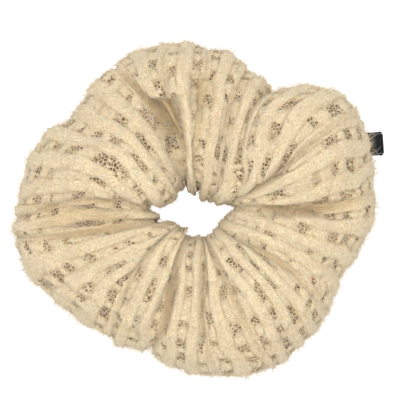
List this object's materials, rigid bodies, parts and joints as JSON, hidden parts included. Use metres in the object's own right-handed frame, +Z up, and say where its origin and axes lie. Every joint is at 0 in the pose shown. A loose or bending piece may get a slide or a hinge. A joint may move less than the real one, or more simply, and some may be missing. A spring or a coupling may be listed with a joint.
{
  "type": "scrunchie",
  "caption": "Gathered hair scrunchie: a hollow sleeve of cream lace knit bunched round an elastic band, with a folded woven label in its outer seam.",
  "frame": {"origin": "centre of the bounding box, on the surface the scrunchie rests on", "axes": "+Z up through the hair opening, +X along the widest way across, towards the side with the label"},
  "size_m": [0.112, 0.1008, 0.038],
  "materials": {
    "knit": "brushed, fuzzy lace knit",
    "elastic": "woven elastic",
    "thread": "spun polyester",
    "label": "woven satin ribbon"
  },
  "bodies": {
    "left_half": {"sleeve_left_half": "knit", "elastic_band": "elastic", "elastic_joint_thread": "thread", "long_seam_thread": "thread", "long_seam_looper_thread": "thread", "end_seam_thread": "thread"},
    "right_half": {"sleeve_right_half": "knit"},
    "label_flap": {"label": "label"}
  },
  "joints": [
    {"name": "stretch", "type": "slide", "parent": "left_half", "child": "right_half", "axis": [1, 0, 0], "range_m": [0, 0.05], "stiffness_N_per_m": 100, "deforming": ["elastic_band", "long_seam_thread", "long_seam_looper_thread"]},
    {"name": "label_flip", "type": "hinge", "parent": "right_half", "child": "label_flap", "pos_m": [0.05161, 0.01955, 0.01665], "axis": [-0.2763, 0.9611, 0], "range_deg": [-60, 60], "stiffness_Nm_per_rad": 0.0003}
  ]
}
